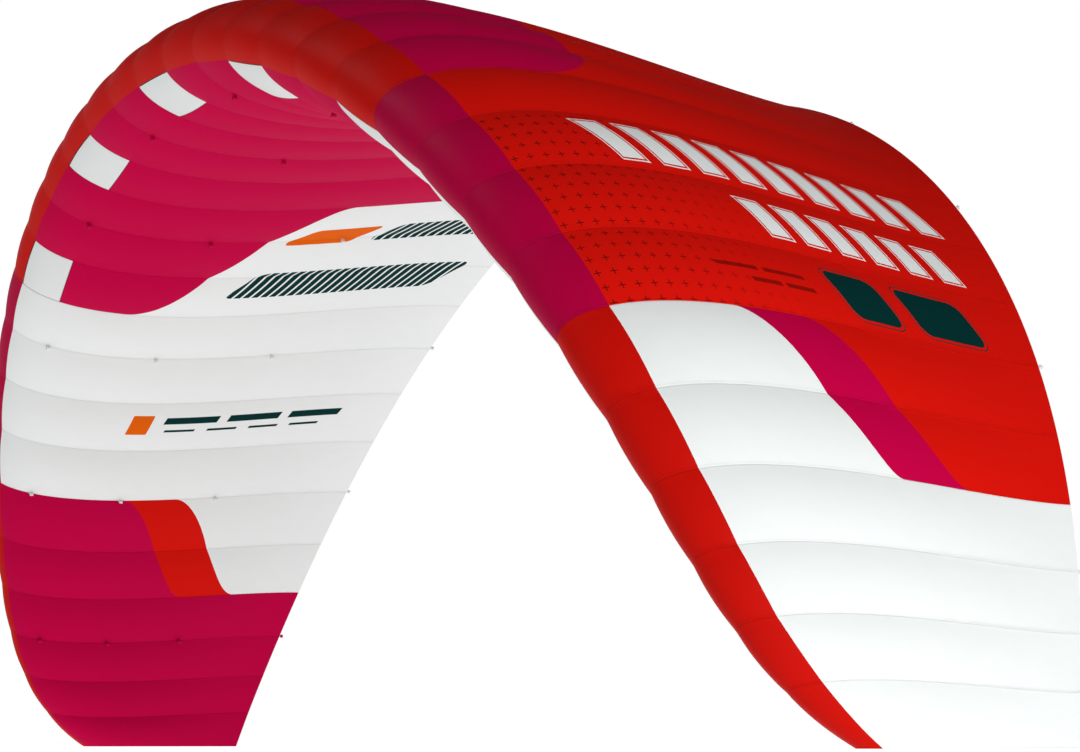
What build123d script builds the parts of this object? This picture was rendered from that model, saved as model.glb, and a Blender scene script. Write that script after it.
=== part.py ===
"""Closed-cell foil kite for kitesurfing, standing on its two wingtips.

Millimetres. X is the span, Y runs from the leading edge back to the trailing edge, Z is up.
The lower seam of the nose follows a circular arc. Ribs stand square to that arc, and station
numbers count ribs from the left tip (0) to the right tip (33); cell 5 lies between ribs 5 and 6.
"""

import os
from math import cos, hypot, radians, sin, sqrt

from build123d import *

# Span: a circular arc of cells that narrow towards the tips
ARC_RADIUS = 2483.0
HALF_ANGLE = 75.0
CELLS = 33
TAPERED_CELLS = 5
CELL_TAPER = 0.889
TIP_TILT = 90.0 - HALF_ANGLE

# Plan: chord at the crown, and how far both edges run back or forward towards the tips
CENTRE_CHORD = 1684.0
LEADING_SWEEP = 502.0
LEADING_POWER = 2.32
TIP_SWEEP = 188.0
TIP_POWER = 21.7
TRAILING_SWEEP = 439.0
TRAILING_POWER = 2.19

# Section, as fractions of the chord
FULLNESS = 0.294
SLIMMING = 1.52
MEAN_LINE = 0.03
LOWER_SEAM = 0.0108
NOSE_SEAM = 0.067
INTAKE_END = 0.082
BULGE = 0.06
NOSE_TAUT = 0.65
TAUT_POWER = 12

# Cloth and hardware
CLOTH = 2.0
TRAILING_EDGE = 5.2
TAPE_DEPTH = 12.0
SEAM_GAP = 1.2
TIP_CLOSURE = 2.0
TIP_SEAM = 0.4
RIB_CLOTH = 1.5
RIB_END = 0.93
PORTS = ((0.17, 0.045), (0.31, 0.05), (0.46, 0.05), (0.60, 0.045), (0.73, 0.035))
PORT_HEIGHT = 0.33
DIAGONAL_START = 0.14
DIAGONAL_END = 0.80
DIAGONAL_CLOTH = 1.5
DIAGONAL_INSET = 4.5
DIAGONAL_SIDE_GAP = 2.5
ROD_DIAMETER = 3.0
ROD_INSET = 5.0
ROD_OFFSET = 4.0
ROD_END = 0.10
FLAP_CLOTH = 1.5
FLAP_INSET = 0.2
FLAP_SIDE_GAP = 4.0
FLAP_FRONT_GAP = 4.0
FLAP_REAR_GAP = 2.0

# Bridle and brake attachment loops, folded from webbing
LOOP_ROWS = (0.08, 0.32, 0.60)
LOOP_EYE = 3.0
LOOP_WALL = 2.2
LOOP_WIDTH = 12.0
LOOP_DROP = 12.0
LOOP_TONGUE = 1.6
LOOP_LAP = 0.6
BRAKE_WIDTH = 8.0
BRAKE_REACH = 8.0

# Which ribs carry load, which cells breathe, and the cells and ribs between the folds
LOADED_STEP = 3
INTAKE_CELLS = (10, 13, 16, 19, 22)
SECTIONS = {
    "left_tip": (range(0, 6), range(1, 6)),
    "left_mid": (range(6, 10), range(6, 10)),
    "centre": (range(10, 23), range(10, 24)),
    "right_mid": (range(23, 27), range(24, 28)),
    "right_tip": (range(27, 33), range(28, 33)),
}


def relative_width(cell):
    """Width of a cell against a full one."""
    return CELL_TAPER ** max(0, TAPERED_CELLS - cell, cell - (CELLS - 1 - TAPERED_CELLS))


TOTAL_WIDTH = sum(relative_width(cell) for cell in range(CELLS))
ARC_LENGTH = 2 * ARC_RADIUS * radians(HALF_ANGLE)


def span_fraction(station):
    """Place along the arc: -1 at the left tip, 0 at the crown, 1 at the right tip."""
    cell = min(int(station), CELLS - 1)
    inboard = sum(relative_width(number) for number in range(cell))
    inboard += relative_width(cell) * (station - cell)
    return 2 * inboard / TOTAL_WIDTH - 1


def cell_width(cell):
    return ARC_LENGTH * relative_width(cell) / TOTAL_WIDTH


def leading_edge(station):
    """Chordwise place of the nose's lower seam, behind the one at the crown."""
    out = abs(span_fraction(station))
    return LEADING_SWEEP * out**LEADING_POWER + TIP_SWEEP * out**TIP_POWER


def chord(station):
    out = abs(span_fraction(station))
    trailing_edge = CENTRE_CHORD - TRAILING_SWEEP * out**TRAILING_POWER
    return trailing_edge - leading_edge(station)


def section_line(station, s):
    """Outer line of a rib. s runs from -1, lower trailing edge, round the nose to 1 on top."""
    u = s * s
    back = (u - LOWER_SEAM) / (1 - LOWER_SEAM)
    half_height = FULLNESS * s * max(0.0, 1 - u) ** SLIMMING
    blunt = TRAILING_EDGE / 2 * s * abs(s)
    return chord(station) * back, chord(station) * (MEAN_LINE + half_height) + blunt


def section_point(station, s, inset=0.0):
    """A point on the section, swollen between the ribs, and inset into the kite."""
    step = 0.0005
    x0, y0 = section_line(station, s - step)
    x1, y1 = section_line(station, s + step)
    x, y = section_line(station, s)
    length = hypot(x1 - x0, y1 - y0)
    cell = min(int(station), CELLS - 1)
    across = station - cell
    taut = 1 - NOSE_TAUT * max(0.0, 1 - s * s) ** TAUT_POWER
    swell = BULGE * cell_width(cell) * 4 * across * (1 - across) * (1 - s**4) * taut
    out = swell - inset
    return x - out * (y1 - y0) / length, y + out * (x1 - x0) / length


# The footprint's centre: half way from the nose at the crown to the brake loops beside it
CROWN_RIB = CELLS // 2 // LOADED_STEP * LOADED_STEP
FRONT_REACH = section_point(CELLS / 2, 0.0)[0]
HEM_REAR = leading_edge(CROWN_RIB) + chord(CROWN_RIB) + SEAM_GAP + TAPE_DEPTH
REAR_REACH = HEM_REAR + BRAKE_REACH + LOOP_EYE + LOOP_WALL
ORIGIN_Y = (FRONT_REACH + REAR_REACH) / 2


def rib_plane(station):
    """Plane of a section: local x along the chord, local y out of the arc, origin on the seam."""
    angle = HALF_ANGLE * span_fraction(station)
    from_crown = station - CELLS / 2
    last_cell = max(0.0, abs(from_crown) - (CELLS / 2 - 1))
    tilt = angle + (TIP_TILT * last_cell if from_crown > 0 else -TIP_TILT * last_cell)
    seam = Vector(
        ARC_RADIUS * sin(radians(angle)),
        leading_edge(station) - ORIGIN_Y,
        ARC_RADIUS * (cos(radians(angle)) - cos(radians(HALF_ANGLE))),
    )
    normal = Vector(cos(radians(tilt)), 0, -sin(radians(tilt)))
    return Plane(origin=seam, x_dir=Vector(0, 1, 0), z_dir=normal)


def spread(start, end, count):
    """Evenly spaced values from start to end."""
    return [start + (end - start) * index / (count - 1) for index in range(count)]


def side_planes(cell, gap=SEAM_GAP):
    """Planes of a cell's two sides and its middle, with their stations."""
    left_gap = TIP_CLOSURE + TIP_SEAM if cell == 0 else gap
    right_gap = TIP_CLOSURE + TIP_SEAM if cell == CELLS - 1 else gap
    return (
        (cell, rib_plane(cell).offset(left_gap)),
        (cell + 0.5, rib_plane(cell + 0.5)),
        (cell + 1, rib_plane(cell + 1).offset(-right_gap)),
    )


def cloth_panel(cell, start, end, count, thickness=CLOTH, inset=0.0, gap=SEAM_GAP):
    """One cell's piece of cloth between two places on the section."""
    with BuildPart() as panel:
        for station, plane in side_planes(cell, gap):
            outer = [section_point(station, s, inset) for s in spread(start, end, count)]
            inner = [
                section_point(station, s, inset + thickness) for s in spread(end, start, count)
            ]
            with BuildSketch(plane):
                with BuildLine():
                    Spline(*outer)
                    Line(outer[-1], inner[0])
                    Spline(*inner)
                    Line(inner[-1], outer[0])
                make_face()
        loft()
    return panel.part


def tape_panel(cell):
    """One cell's hem at the trailing edge."""
    with BuildPart() as tape:
        for station, plane in side_planes(cell):
            rear = chord(station)
            with BuildSketch(plane):
                with Locations((rear + SEAM_GAP + TAPE_DEPTH / 2, MEAN_LINE * rear)):
                    Rectangle(TAPE_DEPTH, TRAILING_EDGE)
        loft()
    return tape.part


def rib(station):
    """A full-height rib with ports that let the cells share their air."""
    reach = sqrt(RIB_END)
    inset = CLOTH + SEAM_GAP
    outline = [section_point(station, s, inset) for s in spread(-reach, reach, 25)]
    with BuildPart() as cloth:
        with BuildSketch(rib_plane(station)):
            with BuildLine():
                Spline(*outline)
                Line(outline[-1], outline[0])
            make_face()
            for place, half_length in PORTS:
                below = section_line(station, -sqrt(place))
                above = section_line(station, sqrt(place))
                middle = ((below[0] + above[0]) / 2, (below[1] + above[1]) / 2)
                with Locations(middle):
                    Ellipse(
                        half_length * chord(station),
                        PORT_HEIGHT * (above[1] - below[1]),
                        mode=Mode.SUBTRACT,
                    )
        extrude(amount=RIB_CLOTH / 2, both=True)
    return cloth.part


def diagonal(cell, loaded_rib):
    """A sloping rib from the foot of a loaded rib to the top of the rib beside it."""
    near, far = DIAGONAL_INSET, DIAGONAL_INSET + DIAGONAL_CLOTH
    with BuildPart() as cloth:
        for station, plane in side_planes(cell, DIAGONAL_SIDE_GAP)[::2]:
            side = -1 if station == loaded_rib else 1
            low, high = (near, far) if side < 0 else (far, near)
            places = spread(side * sqrt(DIAGONAL_START), side * sqrt(DIAGONAL_END), 7)
            below = [section_point(station, s, low) for s in places]
            above = [section_point(station, s, high) for s in reversed(places)]
            with BuildSketch(plane):
                with BuildLine():
                    Spline(*below)
                    Line(below[-1], above[0])
                    Spline(*above)
                    Line(above[-1], below[0])
                make_face()
        loft(ruled=True)
    return cloth.part


def nose_rod(station):
    """A nylon rod bent round the nose inboard of a rib, or outboard where that is an intake."""
    inboard = 1 if station < CELLS / 2 else -1
    cell_inboard = station if inboard > 0 else station - 1
    side = -inboard if cell_inboard in INTAKE_CELLS else inboard
    plane = rib_plane(station).offset(side * ROD_OFFSET)
    places = spread(-sqrt(LOWER_SEAM), sqrt(ROD_END), 9)
    with BuildPart() as rod:
        with BuildLine(plane):
            path = Spline(*[section_point(station, s, ROD_INSET) for s in places])
        with BuildSketch(Plane(origin=path @ 0, z_dir=path % 0)):
            Circle(ROD_DIAMETER / 2)
        sweep(path=path)
    return rod.part


def bridle_loop(station, place):
    """Webbing folded into an eye under a loaded rib, sewn into the seam below the rib."""
    x, y = section_line(station, -sqrt(place))
    rib_frame = rib_plane(station)
    centre = rib_frame.from_local_coords(Vector(x, y - LOOP_DROP, 0))
    with BuildPart() as loop:
        with BuildSketch(Plane(origin=centre, x_dir=rib_frame.z_dir, z_dir=rib_frame.x_dir)):
            Circle(LOOP_EYE + LOOP_WALL)
            with Locations((0, -(LOOP_DROP + LOOP_LAP) / 2)):
                Rectangle(LOOP_TONGUE, LOOP_DROP + LOOP_LAP)
            Circle(LOOP_EYE, mode=Mode.SUBTRACT)
        extrude(amount=LOOP_WIDTH / 2, both=True)
    return loop.part


def brake_loop(station):
    """A brake line's eye behind the hem, with its eye across the chord."""
    rear = chord(station) + SEAM_GAP + TAPE_DEPTH
    height = MEAN_LINE * chord(station)
    with BuildPart() as loop:
        with BuildSketch(rib_plane(station)):
            with Locations((rear + BRAKE_REACH, height)):
                Circle(LOOP_EYE + LOOP_WALL)
        extrude(amount=BRAKE_WIDTH / 2, both=True)
        with BuildSketch(rib_plane(station)):
            with Locations((rear, height)):
                Rectangle(TAPE_DEPTH, TRAILING_EDGE / 2)
        extrude(amount=LOOP_TONGUE / 2, both=True)
        with BuildSketch(rib_plane(station)):
            with Locations((rear + BRAKE_REACH, height)):
                Circle(LOOP_EYE)
        extrude(amount=BRAKE_WIDTH, both=True, mode=Mode.SUBTRACT)
    return loop.part


def intake_valve(cell):
    """The one-way flap that closes an air intake from inside."""
    front = -sqrt(LOWER_SEAM + FLAP_FRONT_GAP / chord(cell))
    rear = -sqrt(INTAKE_END - FLAP_REAR_GAP / chord(cell))
    return cloth_panel(cell, front, rear, 7, FLAP_CLOTH, FLAP_INSET, FLAP_SIDE_GAP)


def tip_closure(station, inward):
    """The flat end of the canopy, which the kite stands on."""
    outline = [section_point(station, s) for s in spread(-1, 1, 25)]
    with BuildPart() as closure:
        with BuildSketch(rib_plane(station)):
            with BuildLine():
                Spline(*outline)
                Line(outline[-1], outline[0])
            make_face()
        extrude(amount=inward * TIP_CLOSURE)
    return closure.part


def upper_panel(cell):
    return cloth_panel(cell, sqrt(NOSE_SEAM), 1, 12)


def lower_panel(cell):
    start = INTAKE_END if cell in INTAKE_CELLS else LOWER_SEAM
    return cloth_panel(cell, -sqrt(start), -1, 12)


def nose_panel(cell):
    """The leading edge's cloth, which stops a seam's gap short of both skins."""
    gap = SEAM_GAP / chord(cell)
    return cloth_panel(cell, -sqrt(LOWER_SEAM - gap), sqrt(NOSE_SEAM - gap), 9)


def save(name, pieces):
    """Write one node: its pieces stay separate solids."""
    node = pieces[0] if len(pieces) == 1 else Compound(pieces)
    node.label = name
    export_step(node, f"parts/{name}.step")


def canopy_section(name, cells, ribs):
    """All the pieces of one section of the canopy, between two folds."""
    loaded = [number for number in ribs if number % LOADED_STEP == 0]
    inboard_ribs = range(LOADED_STEP, CELLS, LOADED_STEP)
    sloping = [(number - side, number) for number in inboard_ribs for side in (1, 0)]
    save(f"{name}_upper_skin", [upper_panel(cell) for cell in cells])
    save(f"{name}_lower_skin", [lower_panel(cell) for cell in cells])
    save(f"{name}_nose", [nose_panel(cell) for cell in cells])
    save(f"{name}_trailing_edge_tape", [tape_panel(cell) for cell in cells])
    save(f"{name}_ribs", [rib(station) for station in ribs])
    save(f"{name}_diagonal_ribs", [diagonal(*pair) for pair in sloping if pair[0] in cells])
    save(f"{name}_nose_rods", [nose_rod(station) for station in ribs])
    save(f"{name}_bridle_loops", [bridle_loop(rib_at, row) for rib_at in loaded for row in LOOP_ROWS])
    save(f"{name}_brake_loops", [brake_loop(number) for number in loaded])


os.makedirs("parts", exist_ok=True)
for section, (section_cells, section_ribs) in SECTIONS.items():
    canopy_section(section, section_cells, section_ribs)
for number, intake_cell in enumerate(INTAKE_CELLS, start=1):
    save(f"intake_valve_{number}", [intake_valve(intake_cell)])
save("left_tip_closure", [tip_closure(0, 1)])
save("right_tip_closure", [tip_closure(CELLS, -1)])
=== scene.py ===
"""The looks of a closed-cell foil kite: continuous cloth, seams, webbing, ribs and colours.

Metres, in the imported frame: X is the span, Y runs back to the trailing edge, Z is up. Station
numbers count ribs from the left tip (0) to the right tip (33). "Out" is a station's distance
from the crown in cells, so what is drawn with it is the same on both wings. On a section, s
runs from -1, lower trailing edge, round the nose to 1 on top, and u = s * s is how far back.
"""

from math import cos, radians, sin, sqrt

import bmesh
import bpy
import numpy as np
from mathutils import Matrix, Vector


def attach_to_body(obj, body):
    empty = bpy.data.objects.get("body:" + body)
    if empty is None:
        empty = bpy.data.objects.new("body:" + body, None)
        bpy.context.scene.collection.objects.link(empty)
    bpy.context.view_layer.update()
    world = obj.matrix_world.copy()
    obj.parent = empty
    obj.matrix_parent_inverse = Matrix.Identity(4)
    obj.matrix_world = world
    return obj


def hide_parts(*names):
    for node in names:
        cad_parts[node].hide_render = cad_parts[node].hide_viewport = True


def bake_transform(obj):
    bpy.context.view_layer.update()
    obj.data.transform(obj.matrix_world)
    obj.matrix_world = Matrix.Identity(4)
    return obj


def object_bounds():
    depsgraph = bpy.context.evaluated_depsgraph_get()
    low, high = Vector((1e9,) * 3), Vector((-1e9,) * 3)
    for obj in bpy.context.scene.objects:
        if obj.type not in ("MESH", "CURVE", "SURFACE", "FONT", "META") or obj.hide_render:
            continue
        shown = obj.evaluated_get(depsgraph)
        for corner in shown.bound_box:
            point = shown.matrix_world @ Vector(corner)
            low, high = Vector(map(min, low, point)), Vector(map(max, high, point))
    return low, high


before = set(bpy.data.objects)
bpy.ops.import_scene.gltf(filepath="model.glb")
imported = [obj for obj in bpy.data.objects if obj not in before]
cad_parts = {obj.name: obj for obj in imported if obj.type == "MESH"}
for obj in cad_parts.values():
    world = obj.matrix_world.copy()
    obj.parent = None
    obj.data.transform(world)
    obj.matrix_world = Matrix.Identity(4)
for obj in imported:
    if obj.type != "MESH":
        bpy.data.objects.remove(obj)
cad_low, cad_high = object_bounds()

# Span and plan of the canopy
ARC_RADIUS = 2.483
HALF_ANGLE = radians(75)
CELLS = 33
MIDDLE = CELLS / 2
TAPERED_CELLS = 5
CELL_TAPER = 0.889
TIP_TILT = radians(15)
CENTRE_CHORD = 1.684
LEADING_SWEEP = 0.502
LEADING_POWER = 2.32
TIP_SWEEP = 0.188
TIP_POWER = 21.7
TRAILING_SWEEP = 0.439
TRAILING_POWER = 2.19

# Section, as fractions of the chord
FULLNESS = 0.294
SLIMMING = 1.52
MEAN_LINE = 0.03
LOWER_SEAM = 0.0108
NOSE_SEAM = 0.067
INTAKE_END = 0.082
BULGE = 0.06
NOSE_TAUT = 0.65
TAUT_POWER = 12
TRAILING_EDGE = 0.0052

# Cut sizes: a panel's extra width for a shallow billow, and where ribs and their ports lie
BILLOW_CUT = 1 + 8 / 3 * BULGE**2
RIB_END = 0.93
PORTS = ((0.17, 0.045), (0.31, 0.05), (0.46, 0.05), (0.60, 0.045), (0.73, 0.035))
PORT_HEIGHT = 0.33
DIAGONAL_START = 0.14
DIAGONAL_END = 0.80
LOADED_STEP = 3

# Cloth, hems and valves
CLOTH = 0.0006
COLUMNS = 10
HEM_DEPTH = 0.0132
HEM_LAP = 0.006
HEM_HALF = 0.0030
INTAKE_CELLS = (10, 13, 16, 19, 22)
FLAP_SIDE_GAP = 0.0012
FLAP_END_GAP = 0.0015
FLAP_INSET = 0.0004
TIP_CLOTH = 0.0012
TIP_TOP = 0.0004
REAR = 0.998
CREASE_ANGLE = radians(14)
PUCKER = 0.0005
PUCKER_REACH = 0.030
PUCKER_PITCH = 0.075

# Bodies: the CAD sections' cells, the ribs where the kite folds, and the sheets' own zones
SECTIONS = {
    "left_tip": range(0, 6),
    "left_mid": range(6, 10),
    "centre": range(10, 23),
    "right_mid": range(23, 27),
    "right_tip": range(27, 33),
}
FOLDS = {
    6: ("left_tip", "left_mid"),
    10: ("left_mid", "centre"),
    23: ("centre", "right_mid"),
    27: ("right_mid", "right_tip"),
}
ZONES = {
    "left_tip": (range(0, 4), "left_tip"),
    "left_outer_fold": (range(4, 8), 6),
    "left_inner_fold": (range(8, 12), 10),
    "crown": (range(12, 21), "centre"),
    "right_inner_fold": (range(21, 25), 23),
    "right_outer_fold": (range(25, 29), 27),
    "right_tip": (range(29, 33), "right_tip"),
}
FOLD_REACH = {6: (0.39, 0.39), 10: (0.41, 0.18), 23: (0.18, 0.41), 27: (0.39, 0.39)}

# Camera, light and floor
SENSOR_WIDTH = 36
CAMERA_PLACE = (7.590, -3.661, 0.012)
CAMERA_TURN = (radians(90 + 7.08), 0, radians(62))
CAMERA_LENS = 98.49
KEY_POWER = 350
TOP_POWER = 100
FLOOR_HALF = 60.0
FLOOR_GLOW = 0.95


# ---------------------------------------------------------------- the canopy's surface

def relative_width(cell):
    """Width of a cell against a full one."""
    return CELL_TAPER ** max(0, TAPERED_CELLS - cell, cell - (CELLS - 1 - TAPERED_CELLS))


SEAMS = np.cumsum([0.0] + [relative_width(cell) for cell in range(CELLS)])
ARC_LENGTH = 2 * ARC_RADIUS * HALF_ANGLE
CELL_WIDTH = ARC_LENGTH / SEAMS[-1]


def span_fraction(station):
    """Place along the arc: -1 at the left tip, 0 at the crown, 1 at the right tip."""
    return 2 * np.interp(station, np.arange(CELLS + 1), SEAMS) / SEAMS[-1] - 1


def station_of(points):
    """The station at which a point stands."""
    angle = np.arctan2(points[:, 0], points[:, 2] + ARC_RADIUS * cos(HALF_ANGLE))
    across = (angle / HALF_ANGLE + 1) / 2 * SEAMS[-1]
    return np.interp(across, SEAMS, np.arange(CELLS + 1))


def leading_edge(station):
    out = np.abs(span_fraction(station))
    return LEADING_SWEEP * out**LEADING_POWER + TIP_SWEEP * out**TIP_POWER


def chord(station):
    out = np.abs(span_fraction(station))
    return CENTRE_CHORD - TRAILING_SWEEP * out**TRAILING_POWER - leading_edge(station)


def section_line(station, s):
    """Outer line of a rib, along the chord and out of the arc."""
    u = s * s
    back = (u - LOWER_SEAM) / (1 - LOWER_SEAM)
    half_height = FULLNESS * s * np.maximum(0.0, 1 - u) ** SLIMMING
    blunt = TRAILING_EDGE / 2 * s * np.abs(s)
    return chord(station) * back, chord(station) * (MEAN_LINE + half_height) + blunt


def pucker(station, s, seed):
    """Small gathers that die away from each rib, with a phase of their own at each."""
    nearest = np.rint(station)
    away = np.abs(station - nearest) * CELL_WIDTH
    length = chord(station) * s * s
    phase = (nearest * 2.399 + seed) % 6.283
    wave = np.sin(6.283 * length / PUCKER_PITCH + phase + np.sin(length * 17 + phase))
    near = np.exp(-((away - PUCKER_REACH / 2) / PUCKER_REACH) ** 2) * (away > 1e-6)
    return PUCKER * wave * near * (1 - s**4) * np.minimum(1, away / (PUCKER_REACH / 2))


def surface(station, s, inset=0.0, gathers=True):
    """Points on the canopy, swollen between the ribs, and inset into the kite."""
    station, s = np.broadcast_arrays(np.asarray(station, float), np.asarray(s, float))
    step = 0.0005
    x0, y0 = section_line(station, s - step)
    x1, y1 = section_line(station, s + step)
    x, y = section_line(station, s)
    length = np.hypot(x1 - x0, y1 - y0)
    cell = np.clip(np.floor(station), 0, CELLS - 1)
    across = station - cell
    width = CELL_WIDTH * CELL_TAPER ** np.maximum.reduce(
        [np.zeros_like(cell), TAPERED_CELLS - cell, cell - (CELLS - 1 - TAPERED_CELLS)]
    )
    taut = 1 - NOSE_TAUT * np.maximum(0.0, 1 - s * s) ** TAUT_POWER
    out = BULGE * width * 4 * across * (1 - across) * (1 - s**4) * taut - inset
    if gathers:
        out = out + pucker(station, s, np.sign(s))
    x = x - out * (y1 - y0) / length
    y = y + out * (x1 - x0) / length
    angle = HALF_ANGLE * span_fraction(station)
    last_cell = np.maximum(0.0, np.abs(station - MIDDLE) - (MIDDLE - 1))
    tilt = angle + TIP_TILT * last_cell * np.sign(station - MIDDLE)
    return np.stack(
        [
            ARC_RADIUS * np.sin(angle) + y * np.sin(tilt),
            SEAM_FRONT + leading_edge(station) + x,
            ARC_RADIUS * (np.cos(angle) - cos(HALF_ANGLE)) + y * np.cos(tilt),
        ],
        axis=-1,
    )


SEAM_FRONT = 0.0
SEAM_FRONT = cad_low.y - surface(MIDDLE, 0.0, gathers=False)[1]


# ---------------------------------------------------------------- fields in node materials

class Field:
    """A number that varies over a surface, worked out by nodes."""

    def __init__(self, socket):
        self.socket = socket

    def __add__(self, other):
        return math("ADD", self, other)

    __radd__ = __add__

    def __mul__(self, other):
        return math("MULTIPLY", self, other)

    __rmul__ = __mul__

    def __sub__(self, other):
        return math("SUBTRACT", self, other)

    def __rsub__(self, other):
        return math("SUBTRACT", other, self)

    def __truediv__(self, other):
        return math("DIVIDE", self, other)

    def __abs__(self):
        return math("ABSOLUTE", self)


def math(operation, *values, clamp=False):
    """One Math node on fields and numbers."""
    tree = next(value.socket.id_data for value in values if isinstance(value, Field))
    node = tree.nodes.new("ShaderNodeMath")
    node.operation = operation
    node.use_clamp = clamp
    for place, value in zip(node.inputs, values):
        if isinstance(value, Field):
            tree.links.new(value.socket, place)
        else:
            place.default_value = value
    return Field(node.outputs[0])


def least(*values):
    result = values[0]
    for value in values[1:]:
        result = math("MINIMUM", result, value)
    return result


def most(*values):
    result = values[0]
    for value in values[1:]:
        result = math("MAXIMUM", result, value)
    return result


def below(value, limit, softness):
    """1 where value is under the limit, 0 where it is over, with an edge that soft."""
    difference = limit - value
    return math("MULTIPLY_ADD", difference, 1 / softness, 0.5, clamp=True)


def saw(value, pitch):
    """Distance from the nearest whole multiple of pitch."""
    turn = math("FRACT", value / pitch + 0.5)
    return abs(turn - 0.5) * pitch


def ramp(value, start, end, low, high):
    """A smooth step from low, before start, to high, after end."""
    tree = value.socket.id_data
    node = tree.nodes.new("ShaderNodeMapRange")
    node.interpolation_type = "SMOOTHSTEP"
    for place, number in zip(node.inputs[1:5], (start, end, low, high)):
        place.default_value = number
    tree.links.new(value.socket, node.inputs[0])
    return Field(node.outputs[0])


def noise(tree, place, scale, detail=2.0, stretch=(1, 1, 1)):
    """Soft noise from 0 to 1 over a vector socket in metres."""
    mapping = tree.nodes.new("ShaderNodeMapping")
    mapping.inputs["Scale"].default_value = stretch
    node = tree.nodes.new("ShaderNodeTexNoise")
    node.inputs["Scale"].default_value = scale
    node.inputs["Detail"].default_value = detail
    tree.links.new(place, mapping.inputs["Vector"])
    tree.links.new(mapping.outputs[0], node.inputs["Vector"])
    return Field(node.outputs[0])


def linear(code):
    """A colour's linear values from its six-figure code."""
    values = [int(code[index : index + 2], 16) / 255 for index in (0, 2, 4)]
    return [*(v / 12.92 if v < 0.04045 else ((v + 0.055) / 1.055) ** 2.4 for v in values), 1.0]


def paint(tree, under, mask, colour):
    """Lays a colour over another where the mask is 1."""
    node = tree.nodes.new("ShaderNodeMix")
    node.data_type = "RGBA"
    tree.links.new(mask.socket, node.inputs["Factor"])
    under_place, over_place = node.inputs[6], node.inputs[7]
    if isinstance(under, bpy.types.NodeSocket):
        tree.links.new(under, under_place)
    else:
        under_place.default_value = under
    over_place.default_value = colour
    return node.outputs[2]


def new_material(name, roughness, specular, sheen):
    material = bpy.data.materials.new(name)
    material.use_nodes = True
    tree = material.node_tree
    shader = tree.nodes["Principled BSDF"]
    shader.inputs["Roughness"].default_value = roughness
    shader.inputs["Specular IOR Level"].default_value = specular
    shader.inputs["Sheen Weight"].default_value = sheen
    shader.inputs["Sheen Roughness"].default_value = 0.4
    return material, tree, shader


def shade(tree, shader, colour, value):
    """Gives a shader a colour whose brightness follows a field."""
    node = tree.nodes.new("ShaderNodeHueSaturation")
    tree.links.new(value.socket, node.inputs["Value"])
    if isinstance(colour, bpy.types.NodeSocket):
        tree.links.new(colour, node.inputs["Color"])
    else:
        node.inputs["Color"].default_value = colour
    tree.links.new(node.outputs[0], shader.inputs["Base Color"])


def bump(tree, shader, height, distance, strength=1.0):
    node = tree.nodes.new("ShaderNodeBump")
    node.inputs["Distance"].default_value = distance
    node.inputs["Strength"].default_value = strength
    tree.links.new(height.socket, node.inputs["Height"])
    tree.links.new(node.outputs[0], shader.inputs["Normal"])


# ---------------------------------------------------------------- colours

RED = linear("D4130A")
CRIMSON = linear("BE0242")
WHITE = linear("E9EDEC")
DARK_GREEN = linear("04302F")
ORANGE = linear("E06008")
DARK_RED = linear("5A0A06")
VALVE_GREY = linear("DDE2E1")
RIB_WHITE = linear("E8E9E6")
ROD_BLACK = linear("1C1C1E")

EDGE = 0.0008
BUMP = 0.0004
LOWER_BILLOW = 0.006
# Painted shade on the nose: its reds are the skins' own reds, drawn darker
NOSE_PAINTED_SHADE = 0.78
RIPSTOP = 0.005
STITCH_OFF = 0.0035
PLAN_CHORD = 1.5


class Cut:
    """Where a point of cloth is: station, out, how far back, and metres of cloth both ways."""

    def __init__(self, tree):
        plan = self.attribute(tree, "plan")
        metres = self.attribute(tree, "cut")
        self.vector = metres.outputs["Vector"]
        self.station, self.back = self.split(tree, plan)
        self.span, self.length = self.split(tree, metres)
        self.out = abs(self.station - MIDDLE)
        self.across = self.out * CELL_WIDTH
        self.along = self.back * PLAN_CHORD

    @staticmethod
    def attribute(tree, name):
        node = tree.nodes.new("ShaderNodeAttribute")
        node.attribute_name = name
        return node

    @staticmethod
    def split(tree, node):
        apart = tree.nodes.new("ShaderNodeSeparateXYZ")
        tree.links.new(node.outputs["Vector"], apart.inputs[0])
        return Field(apart.outputs[0]), Field(apart.outputs[1])


def slanted_block(cut, along, across, half_long, half_wide, radius, slant=0.5):
    """Signed distance in metres to a rounded parallelogram on the plan."""
    sideways = cut.across - across
    forwards = cut.along - along - sideways * slant
    reach_x = most(abs(forwards) - (half_long - radius), 0.0)
    reach_y = most(abs(sideways) - (half_wide - radius), 0.0)
    corner = math("SQRT", reach_x * reach_x + reach_y * reach_y)
    return corner - radius


def slanted_row(cut, first, pitch, count, across, half_long, half_wide, slant=0.5):
    """Signed distance to a row of equal parallelograms."""
    sideways = cut.across - across
    forwards = cut.along - first - sideways * slant
    nearest = math("ROUND", math("DIVIDE", forwards, pitch))
    nearest = least(most(nearest, 0.0), count - 1.0)
    to_bar = abs(forwards - nearest * pitch) - half_long
    return most(to_bar, abs(sideways) - half_wide)


def outlined(distance, gap=0.007, line=0.004):
    """A filled shape with a thin line round it."""
    inside = below(distance, 0.0, EDGE)
    ring = below(abs(distance - gap), line / 2, EDGE)
    return most(inside, ring)


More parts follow.
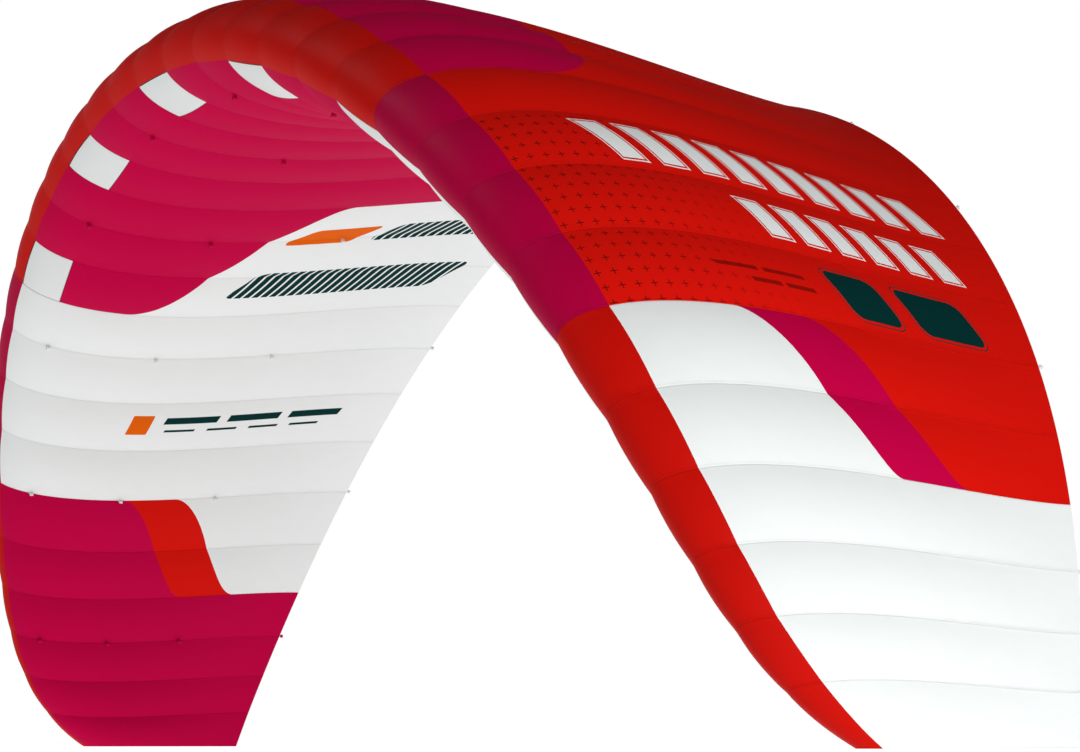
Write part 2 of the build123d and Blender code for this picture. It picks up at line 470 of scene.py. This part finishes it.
def cloth_finish(tree, shader, cut, colour, seams=True, brightness=0.955, billow=0.0):
    """Ripstop weave, stitched seams, painted shade along each seam's fold, faint creases, colour
    variation and extra billow in metres.
    """
    weave_line = least(saw(cut.span, RIPSTOP), saw(cut.length, RIPSTOP))
    weave = below(weave_line, 0.0004, 0.0003)
    broad = noise(tree, cut.vector, 2.2, 3.0)
    fine = noise(tree, cut.vector, 40.0, 2.0, (1, 0.35, 1))
    crease = noise(tree, cut.vector, 11.0, 4.0, (1.0, 0.45, 1))
    value = brightness + broad * 0.05 + fine * 0.03 - weave * 0.025
    height = weave * 0.12 + crease * 1.3 + fine * 0.25
    if seams:
        seam = saw(cut.station, 1.0) * CELL_WIDTH
        dash = below(saw(cut.length, 0.0045), 0.0014, 0.0004)
        stitch = least(below(abs(seam - STITCH_OFF), 0.0004, 0.0003), dash)
        # fold: a thin line along each seam, sunk into the bump and painted darker as painted shade
        # in the crease
        fold = below(seam, 0.0007, 0.0006)
        lap = below(seam, 0.0065, 0.0006)
        # fold * 0.05 darkens the seam line: painted shade
        value = value - fold * 0.05 - stitch * 0.06 - lap * 0.008
        height = height - fold * 1.2 + lap * 0.5 + stitch * 0.7
        across = saw(cut.station, 1.0)
        height = height + 4 * across * (1 - across) * (billow / BUMP)
    shade(tree, shader, colour, value)
    bump(tree, shader, height, BUMP)


def upper_cloth():
    material, tree, shader = new_material("upper_cloth", 0.6, 0.02, 0.0)
    cut = Cut(tree)
    patch_y = most(cut.across - (6.5 * CELL_WIDTH - 0.2), 0.0)
    patch_x = most(cut.along - (0.385 * PLAN_CHORD - 0.2), 0.0)
    patch = math("SQRT", patch_x * patch_x + patch_y * patch_y) - 0.2
    slash_front = ramp(cut.back, 0.30, 0.553, 10.5, 12.5)
    slash_rear = ramp(cut.back, 0.45, 0.735, 10.5, 12.5)
    edge = EDGE / CELL_WIDTH
    colour = paint(tree, RED, below(patch, 0.0, EDGE), CRIMSON)
    colour = paint(tree, colour, below(slash_rear, cut.out, edge), CRIMSON)
    colour = paint(tree, colour, below(slash_front, cut.out, edge), WHITE)

    cross_x = saw(cut.length - 0.014, 0.038)
    cross_y = saw(cut.across - 1.653, 0.038)
    arms = most(
        least(below(cross_x, 0.0012, 0.0005), below(cross_y, 0.0085, 0.0005)),
        least(below(cross_y, 0.0012, 0.0005), below(cross_x, 0.0085, 0.0005)),
    )
    field = least(below(7.58, cut.out, edge), below(cut.out, 10.49, edge))
    fading = ramp(cut.back, 0.12, 0.55, 0.95, 0.05)
    colour = paint(tree, colour, arms * field * fading, DARK_RED)

    bars = least(
        slanted_row(cut, 0.39, 0.115, 9, 1.737, 0.030, 0.066),
        slanted_row(cut, 0.72, 0.115, 6, 1.953, 0.030, 0.054),
    )
    colour = paint(tree, colour, outlined(bars), WHITE)
    blocks = least(
        slanted_block(cut, 0.93, 2.167, 0.085, 0.068, 0.03),
        slanted_block(cut, 1.20, 2.167, 0.115, 0.068, 0.03),
    )
    colour = paint(tree, colour, outlined(blocks, 0.009, 0.003), DARK_GREEN)
    rules = least(
        slanted_row(cut, 0.52, 0.15, 2, 2.150, 0.066, 0.006),
        slanted_row(cut, 0.60, 0.11, 2, 2.185, 0.047, 0.006),
    )
    colour = paint(tree, colour, below(rules, 0.0, EDGE) * 0.7, DARK_RED)
    cloth_finish(tree, shader, cut, colour)
    return material


def lower_colours(tree, cut):
    """The lower skin's large fields of colour."""
    edge = EDGE / CELL_WIDTH
    centre = ramp(cut.back, 0.22, 0.58, 6.5, 3.5)
    slash_rear = ramp(cut.back, 0.48, 0.77, 10.5, 12.5)
    slash_front = ramp(cut.back, 0.33, 0.575, 10.5, 12.5)
    on_left = below(cut.station, MIDDLE, 0.1)
    tip_colour = paint(tree, WHITE, on_left, CRIMSON)
    colour = paint(tree, WHITE, below(cut.out, centre, edge), CRIMSON)
    colour = paint(tree, colour, below(slash_rear, cut.out, edge), RED)
    tip = tree.nodes.new("ShaderNodeMix")
    tip.data_type = "RGBA"
    tree.links.new(below(slash_front, cut.out, edge).socket, tip.inputs["Factor"])
    tree.links.new(colour, tip.inputs[6])
    tree.links.new(tip_colour, tip.inputs[7])
    return tip.outputs[2]


def lower_cloth():
    material, tree, shader = new_material("lower_cloth", 0.6, 0.02, 0.0)
    cut = Cut(tree)
    colour = lower_colours(tree, cut)
    bands = least(
        slanted_block(cut, 1.02, 1.225, 0.36, 0.065, 0.03, -0.8),
        slanted_block(cut, 1.22, 0.942, 0.19, 0.050, 0.02, -0.8),
    )
    hatch = below(0.0040, saw(cut.along + cut.across * 0.5, 0.030), EDGE)
    colour = paint(tree, colour, below(bands, 0.0, EDGE) * hatch, DARK_GREEN)
    flash = slanted_block(cut, 0.86, 0.942, 0.11, 0.050, 0.02, -0.8)
    tag = slanted_block(cut, 0.492, 1.926, 0.040, 0.042, 0.004, -0.25)
    colour = paint(tree, colour, below(least(flash, tag), 0.0, EDGE), ORANGE)
    rules = least(
        slanted_row(cut, 0.69, 0.25, 3, 1.908, 0.105, 0.014, -0.4),
        slanted_row(cut, 0.65, 0.17, 4, 1.953, 0.060, 0.005, -0.4),
    )
    colour = paint(tree, colour, below(rules, 0.0, EDGE), DARK_GREEN)
    cloth_finish(tree, shader, cut, colour, billow=LOWER_BILLOW)
    return material


def nose_cloth():
    material, tree, shader = new_material("nose_cloth", 0.5, 0.03, 0.0)
    cut = Cut(tree)
    edge = EDGE / CELL_WIDTH
    band = least(below(6.5, cut.out, edge), below(cut.out, 10.5, edge))
    colour = paint(tree, RED, band, CRIMSON)
    # the nose's reds at a lower brightness: painted shade
    cloth_finish(tree, shader, cut, colour, brightness=NOSE_PAINTED_SHADE)
    return material


def plain_cloth(name, colour, roughness):
    material, tree, shader = new_material(name, roughness, 0.3, 0.05)
    cloth_finish(tree, shader, Cut(tree), colour, seams=False)
    return material


def solid_material(name, colour, roughness, specular, weave_pitch, depth):
    """Webbing or extruded nylon, textured over its own volume."""
    material, tree, shader = new_material(name, roughness, specular, 0.0)
    if colour is None:
        colour = lower_colours(tree, Cut(tree))
    place = tree.nodes.new("ShaderNodeTexCoord").outputs["Object"]
    apart = tree.nodes.new("ShaderNodeSeparateXYZ")
    tree.links.new(place, apart.inputs[0])
    x, y, z = (Field(apart.outputs[index]) for index in range(3))
    weave = most(saw(x + z, weave_pitch), saw(y - z, weave_pitch)) / weave_pitch
    grain = noise(tree, place, 900.0, 2.0)
    shade(tree, shader, colour, 0.86 + weave * 0.24 + grain * 0.12)
    bump(tree, shader, weave + grain * 0.3, depth)
    return material


UPPER = upper_cloth()
LOWER = lower_cloth()
NOSE = nose_cloth()
VALVE = plain_cloth("valve_cloth", VALVE_GREY, 0.5)
RIB = plain_cloth("rib_cloth", RIB_WHITE, 0.55)
WEBBING = solid_material("webbing", None, 0.75, 0.1, 0.0016, 0.0002)
ROD = solid_material("nylon_rod", ROD_BLACK, 0.35, 0.4, 0.0008, 0.00005)


# ---------------------------------------------------------------- meshes

def finish_mesh(name, points, faces, materials, attributes=()):
    """A smooth-shaded piece whose creases stay sharp."""
    mesh = bpy.data.meshes.new(name)
    mesh.from_pydata([tuple(p) for p in points], [], faces)
    for key, values in attributes:
        attribute = mesh.attributes.new(key, "FLOAT_VECTOR", "POINT")
        attribute.data.foreach_set("vector", np.asarray(values, np.float32).ravel())
    mesh.polygons.foreach_set("use_smooth", [True] * len(mesh.polygons))
    mesh.set_sharp_from_angle(angle=CREASE_ANGLE)
    for material in materials:
        mesh.materials.append(material)
    mesh.update()
    piece = bpy.data.objects.new(name, mesh)
    bpy.context.scene.collection.objects.link(piece)
    return piece


def shell(name, points, station, s, material, kept=None, thickness=CLOTH):
    """A thin closed sheet: its outer face is a grid of points, less the quads not kept."""
    rows, columns = points.shape[:2]
    across = np.gradient(points, axis=0)
    back = np.gradient(points, axis=1)
    normal = np.cross(across, back)
    normal /= np.linalg.norm(normal, axis=2, keepdims=True)
    count = rows * columns
    layers = np.concatenate([points.reshape(-1, 3), (points - normal * thickness).reshape(-1, 3)])
    if kept is None:
        kept = np.ones((rows - 1, columns - 1), bool)
    index = np.arange(count).reshape(rows, columns)
    quads = np.stack([index[:-1, :-1], index[1:, :-1], index[1:, 1:], index[:-1, 1:]], axis=-1)
    quads = quads[kept]
    faces = [tuple(q) for q in quads.tolist()]
    directed = {(q[k], q[(k + 1) % 4]) for q in faces for k in range(4)}
    rim = sorted(edge for edge in directed if edge[::-1] not in directed)
    faces += [tuple(vertex + count for vertex in reversed(q)) for q in faces]
    faces += [(b, a, a + count, b + count) for a, b in rim]
    u = s * s
    step = np.linalg.norm(np.diff(points, axis=1), axis=2)
    length = np.concatenate([np.zeros((rows, 1)), np.cumsum(step, axis=1)], axis=1)
    if s.mean() < 0:
        length = length[:, -1:] - length
    span = ARC_RADIUS * HALF_ANGLE * span_fraction(station)
    plan = np.stack([station, u, np.zeros_like(u)], axis=-1).reshape(-1, 3)
    metres = np.stack([span, length, np.zeros_like(u)], axis=-1).reshape(-1, 3)
    used = np.unique(np.array([vertex for face in faces for vertex in face]))
    new_number = np.full(2 * count, -1)
    new_number[used] = np.arange(len(used))
    faces = [tuple(new_number[list(face)].tolist()) for face in faces]
    attributes = (
        ("plan", np.concatenate([plan, plan])[used]),
        ("cut", np.concatenate([metres, metres])[used]),
    )
    return finish_mesh(name, layers[used], faces, [material], attributes)


def ruled_cut(first_edge, second_edge):
    """Width, length and area of a flat panel cut between two seam lines."""
    width = np.linalg.norm(second_edge - first_edge, axis=1).max()
    lengths = [np.linalg.norm(np.diff(e, axis=0), axis=1).sum() for e in (first_edge, second_edge)]
    diagonals = second_edge[1:] - first_edge[:-1], second_edge[:-1] - first_edge[1:]
    return width, max(lengths), np.linalg.norm(np.cross(*diagonals), axis=1).sum() / 2


def canopy_cut(cells, places):
    """A strip of the canopy as it is cut: a panel from rib line to rib line in each cell, and
    wider by what it needs to billow. It comes from the ribs' outlines, not from the mesh."""
    panels = []
    for cell in cells:
        edges = [surface(rib, places, gathers=False) for rib in (cell, cell + 1)]
        panels.append(ruled_cut(*edges))
    widths, lengths, areas = zip(*panels)
    return sum(widths) * BILLOW_CUT, max(lengths), sum(areas) * BILLOW_CUT


def rib_cut(station, end, ports):
    """A rib's flat profile from the nose back to a place on the chord, less its ports."""
    x, y = section_line(float(station), np.linspace(-sqrt(end), sqrt(end), 241))
    area = abs(np.dot(x, np.roll(y, 1)) - np.dot(y, np.roll(x, 1))) / 2
    for place, half_length in ports:
        below, above = (section_line(float(station), side * sqrt(place))[1] for side in (-1, 1))
        area -= np.pi * half_length * chord(station) * PORT_HEIGHT * (above - below)
    return np.ptp(y), np.ptp(x), area


def sloping_rib_cut(cell):
    """The panel from the foot of the loaded rib to the top of the rib beside it."""
    loaded, beside = (cell, cell + 1) if cell % LOADED_STEP == 0 else (cell + 1, cell)
    places = np.linspace(sqrt(DIAGONAL_START), sqrt(DIAGONAL_END), 60)
    foot = surface(loaded, -places, gathers=False)
    return ruled_cut(foot, surface(beside, places, gathers=False))


def stations_of(cells):
    """Columns of a sheet: evenly spaced in each cell, with one on every rib."""
    return np.linspace(cells[0], cells[-1] + 1, len(cells) * COLUMNS + 1)


def zone_sheet(name, cells, places, material, kept=None):
    """A continuous sheet over some cells."""
    station, s = np.meshgrid(stations_of(cells), places, indexing="ij")
    points = surface(station, s)
    return shell(name, points, station, s, material, kept)


def attach(piece, zone, kinds, only=None):
    """Rides a piece with its zone's body, or leaves a piece on a fold where it is, unbent; either
    way it stands for its cells' CAD nodes.
    """
    cells, where = ZONES[zone]
    touched = cells if only is None else only
    sections = [name for name, own in SECTIONS.items() if set(own) & set(touched)]
    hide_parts(*[f"{section}_{kind}" for section in sections for kind in kinds])
    if isinstance(where, str):
        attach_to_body(piece, where)
        return
    angle = HALF_ANGLE * float(span_fraction(where))
    seam = Vector(surface(where, -sqrt(LOWER_SEAM), gathers=False))
    before, after = FOLD_REACH[where]
    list(FOLDS[where])
    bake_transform(piece)


def zone_of_cell(cell):
    return next(name for name, (cells, _) in ZONES.items() if cell in cells)


def zone_of_rib(rib):
    """A rib on the edge of a zone that lies on a fold belongs to that zone."""
    for name, (cells, where) in ZONES.items():
        if not isinstance(where, str) and cells[0] <= rib <= cells[-1] + 1:
            return name
    return zone_of_cell(rib)


# Skins and nose
UPPER_PLACES = np.linspace(sqrt(NOSE_SEAM), 1.0, 90)
NOSE_PLACES = np.linspace(-sqrt(LOWER_SEAM), sqrt(NOSE_SEAM), 34)
INTAKE_PLACES = np.linspace(-sqrt(INTAKE_END), -sqrt(LOWER_SEAM), 15)
LOWER_PLACES = np.concatenate([np.linspace(-1.0, -sqrt(INTAKE_END), 76)[:-1], INTAKE_PLACES])

for zone, (cells, _) in ZONES.items():
    upper = zone_sheet(f"{zone}_upper_sheet", cells, UPPER_PLACES, UPPER)
    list(canopy_cut(cells, UPPER_PLACES))
    attach(upper, zone, ["upper_skin"])

    kept = np.ones((len(cells) * COLUMNS, len(LOWER_PLACES) - 1), bool)
    for number, cell in enumerate(cells):
        if cell in INTAKE_CELLS:
            kept[number * COLUMNS : (number + 1) * COLUMNS, -(len(INTAKE_PLACES) - 1) :] = False
    lower = zone_sheet(f"{zone}_lower_sheet", cells, LOWER_PLACES, LOWER, kept)
    width, length, area = canopy_cut(cells, LOWER_PLACES)
    openings = [cell for cell in cells if cell in INTAKE_CELLS]
    area -= sum(canopy_cut([cell], INTAKE_PLACES)[2] for cell in openings)
    attach(lower, zone, ["lower_skin"])

    nose = zone_sheet(f"{zone}_nose_sheet", cells, NOSE_PLACES, NOSE)
    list(canopy_cut(cells, NOSE_PLACES))
    attach(nose, zone, ["nose"])


# Hem tape folded over the trailing edge
def hem(name, cells):
    """A rounded binding; its upper half takes the upper skin's colours, its lower the lower's."""
    round_end = [
        (HEM_DEPTH - HEM_HALF * (1 - cos(angle)), HEM_HALF * sin(angle))
        for angle in np.linspace(radians(90), radians(-90), 9)
    ]
    profile = [(-HEM_LAP, HEM_HALF * 0.8), *round_end, (-HEM_LAP, -HEM_HALF * 0.8)]
    across = stations_of(cells)
    corners = []
    for station in across:
        rear = surface(station, 1.0, gathers=False) / 2 + surface(station, -1.0, gathers=False) / 2
        angle = HALF_ANGLE * span_fraction(station)
        last_cell = max(0.0, abs(station - MIDDLE) - (MIDDLE - 1))
        tilt = angle + TIP_TILT * last_cell * np.sign(station - MIDDLE)
        out = np.array([sin(tilt), 0, cos(tilt)])
        corners.append([rear + np.array([0, x, 0]) + out * y for x, y in profile])
    corners = np.array(corners)
    rows, sides = corners.shape[:2]
    number = np.arange(rows * sides).reshape(rows, sides)
    faces = []
    for row in range(rows - 1):
        for side in range(sides):
            following = (side + 1) % sides
            faces.append(
                (
                    int(number[row, side]),
                    int(number[row + 1, side]),
                    int(number[row + 1, following]),
                    int(number[row, following]),
                )
            )
    faces.append(tuple(int(v) for v in number[0]))
    faces.append(tuple(int(v) for v in reversed(number[-1])))
    station = np.repeat(across[:, None], sides, axis=1)
    length = np.tile(np.array([x for x, _ in profile]), (rows, 1)) + chord(station)
    span = ARC_RADIUS * HALF_ANGLE * span_fraction(station)
    blank = np.zeros_like(station)
    attributes = (
        ("plan", np.stack([station, blank + REAR, blank], axis=-1).reshape(-1, 3)),
        ("cut", np.stack([span, length, blank], axis=-1).reshape(-1, 3)),
    )
    piece = finish_mesh(name, corners.reshape(-1, 3), faces, [UPPER, LOWER], attributes)
    half = sides // 2
    for polygon in piece.data.polygons:
        side = polygon.index % sides
        polygon.material_index = 1 if half <= side < sides else 0
    return piece


for zone, (cells, _) in ZONES.items():
    tape = hem(f"{zone}_hem", cells)
    attach(tape, zone, ["trailing_edge_tape"])


# Valve flaps
for number, cell in enumerate(INTAKE_CELLS, start=1):
    side = FLAP_SIDE_GAP / CELL_WIDTH
    ends = FLAP_END_GAP / float(chord(cell))
    across = np.linspace(cell + side, cell + 1 - side, 2 * COLUMNS + 1)
    places = np.linspace(-sqrt(INTAKE_END - ends), -sqrt(LOWER_SEAM + ends), 24)
    station, s = np.meshgrid(across, places, indexing="ij")
    points = surface(station, s, inset=FLAP_INSET, gathers=False)
    flap = shell(f"valve_flap_{number}", points, station, s, VALVE)
    side_edges = [surface(place, places, gathers=False) for place in (across[0], across[-1])]
    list(ruled_cut(*side_edges))
    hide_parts(f"intake_valve_{number}")
    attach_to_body(flap, f"valve_{number}")


# Tip closures: the flat ends that the kite stands on
for side, station, inward in (("left", 0, 1), ("right", CELLS, -1)):
    places = np.linspace(0.0, 1.0, 70)[:, None]
    lower_line = surface(station, -places[:, 0], gathers=False)
    upper_line = surface(station, places[:, 0], gathers=False)
    rise = np.linspace(0.0, 1.0, 13)[None, :, None]
    points = lower_line[:, None] * (1 - rise) + upper_line[:, None] * rise
    points[:, :, 2] = TIP_TOP
    if inward > 0:
        points = points[:, ::-1]
    grid_station = np.full(points.shape[:2], float(station))
    grid_s = -np.repeat(places, 13, axis=1)
    points = points[1:]
    closure = shell(
        f"{side}_tip_sheet", points, grid_station[1:], grid_s[1:], LOWER, thickness=TIP_CLOTH
    )
    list(rib_cut(station, 1.0, ()))
    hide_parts(f"{side}_tip_closure")
    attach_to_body(closure, f"{side}_tip")


# ---------------------------------------------------------------- pieces cut from the CAD nodes

def cut_out(node, group_of):
    """Splits a CAD node's faces into groups by the station of their middles."""
    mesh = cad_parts[node].data
    points = np.zeros(len(mesh.vertices) * 3)
    mesh.vertices.foreach_get("co", points)
    points = points.reshape(-1, 3)
    corners = np.zeros(len(mesh.loops), int)
    mesh.loops.foreach_get("vertex_index", corners)
    triangles = corners.reshape(-1, 3)
    group = group_of(station_of(points[triangles].mean(axis=1)))
    for key in np.unique(group):
        yield int(key), points, triangles[group == key]


def nearest_rib(station):
    return np.rint(station).astype(int)


def own_cell(station):
    return np.floor(station).astype(int)


def copied_piece(name, parts, material):
    """One piece made of CAD faces, welded, with attributes for the cloth materials."""
    build = bmesh.new()
    for points, triangles in parts:
        used, numbered = np.unique(triangles, return_inverse=True)
        made = [build.verts.new(points[vertex]) for vertex in used]
        for a, b, c in numbered.reshape(-1, 3):
            try:
                build.faces.new((made[a], made[b], made[c]))
            except ValueError:
                continue
    bmesh.ops.remove_doubles(build, verts=build.verts, dist=1e-6)
    build.verts.index_update()
    points = np.array([vertex.co for vertex in build.verts])
    faces = [tuple(vertex.index for vertex in face.verts) for face in build.faces]
    build.free()
    station = station_of(points)
    up = np.hypot(points[:, 0], points[:, 2] + ARC_RADIUS * cos(HALF_ANGLE))
    blank = np.zeros(len(points))
    front = SEAM_FRONT + leading_edge(station)
    back = LOWER_SEAM + (1 - LOWER_SEAM) * (points[:, 1] - front) / chord(station)
    attributes = (
        ("plan", np.stack([station, np.clip(back, 0, REAR), blank], axis=-1)),
        ("cut", np.stack([up + station * CELL_WIDTH, points[:, 1], blank], axis=-1)),
    )
    return finish_mesh(name, points, faces, [material], attributes)


def cloth_pieces(kind, label, group_of, zone_of, cut_of):
    """Each rib or sloping rib as a sheet of its own."""
    for section in SECTIONS:
        for key, points, triangles in cut_out(f"{section}_{kind}", group_of):
            piece = copied_piece(f"{label}_{key:02d}", [(points, triangles)], RIB)
            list(cut_of(key))
            attach(piece, zone_of(key), [kind], only=SECTIONS[section])


def grouped_pieces(kind, label, material):
    """Small hard pieces, one object for each zone."""
    found = {}
    for section in SECTIONS:
        for key, points, triangles in cut_out(f"{section}_{kind}", nearest_rib):
            found.setdefault(zone_of_rib(key), []).append((section, points, triangles))
    for zone, parts in found.items():
        piece = copied_piece(f"{zone}_{label}", [part[1:] for part in parts], material)
        touched = [SECTIONS[section][0] for section in sorted({part[0] for part in parts})]
        attach(piece, zone, [kind], only=touched)


cloth_pieces("ribs", "rib", nearest_rib, zone_of_rib, lambda rib: rib_cut(rib, RIB_END, PORTS))
cloth_pieces("diagonal_ribs", "sloping_rib", own_cell, zone_of_cell, sloping_rib_cut)
grouped_pieces("nose_rods", "rods", ROD)
grouped_pieces("bridle_loops", "bridle_webbing", WEBBING)
grouped_pieces("brake_loops", "brake_webbing", WEBBING)


# ---------------------------------------------------------------- camera, light and floor

camera_data = bpy.data.cameras.new("camera")
camera_data.lens = CAMERA_LENS
camera_data.sensor_width = SENSOR_WIDTH
camera_data.clip_start = 0.05
camera_data.clip_end = 400
camera = bpy.data.objects.new("camera", camera_data)
camera.location = CAMERA_PLACE
camera.rotation_euler = CAMERA_TURN
bpy.context.scene.collection.objects.link(camera)
bpy.context.scene.camera = camera
bpy.context.scene.view_settings.view_transform = "Standard"


def area_light(name, place, target, size, power):
    data = bpy.data.lights.new(name, "AREA")
    data.shape = "RECTANGLE"
    data.size, data.size_y = size
    data.energy = power
    light = bpy.data.objects.new(name, data)
    light.location = place
    aim = Vector(target) - Vector(place)
    light.rotation_euler = aim.to_track_quat("-Z", "Y").to_euler()
    bpy.context.scene.collection.objects.link(light)


area_light("key", (9.0, 0.3, 1.6), (1.5, 0.2, 0.9), (2.4, 2.4), KEY_POWER)
area_light("top", (-1.5, -4.0, 6.0), (-0.5, 0.0, 1.9), (3.0, 2.0), TOP_POWER)


def studio_world():
    """A bright wall at the back, and a dark ceiling, front and right side."""
    world = bpy.data.worlds.new("studio")
    world.use_nodes = True
    bpy.context.scene.world = world
    tree = world.node_tree
    background = tree.nodes["Background"]
    direction = tree.nodes.new("ShaderNodeTexCoord").outputs["Generated"]
    apart = tree.nodes.new("ShaderNodeSeparateXYZ")
    tree.links.new(direction, apart.inputs[0])
    x, y, z = (Field(apart.outputs[index]) for index in range(3))
    behind_camera = ramp(y, -0.45, 0.10, 0.30, 1.0)
    from_right = ramp(x, -0.55, -0.15, 1.0, 0.30)
    level = ramp(z, 0.25, 0.42, 1.0, 0.06) * behind_camera * from_right
    tree.links.new(level.socket, background.inputs["Color"])
    background.inputs["Strength"].default_value = 1.0


studio_world()


def studio_floor():
    half = FLOOR_HALF
    corners = [(-half, -half, 0), (half, -half, 0), (half, half, 0), (-half, half, 0)]
    material, tree, shader = new_material("studio_floor", 0.9, 0.1, 0.0)
    place = tree.nodes.new("ShaderNodeTexCoord").outputs["Object"]
    shade(tree, shader, linear("8C8C8C"), 0.97 + noise(tree, place, 3.0) * 0.04)
    shader.inputs["Emission Color"].default_value = linear("FFFFFF")
    shader.inputs["Emission Strength"].default_value = FLOOR_GLOW
    mesh = bpy.data.meshes.new("studio_floor")
    mesh.from_pydata(corners, [], [(0, 1, 2, 3)])
    mesh.materials.append(material)
    floor = bpy.data.objects.new("studio_floor", mesh)
    bpy.context.scene.collection.objects.link(floor)


studio_floor()
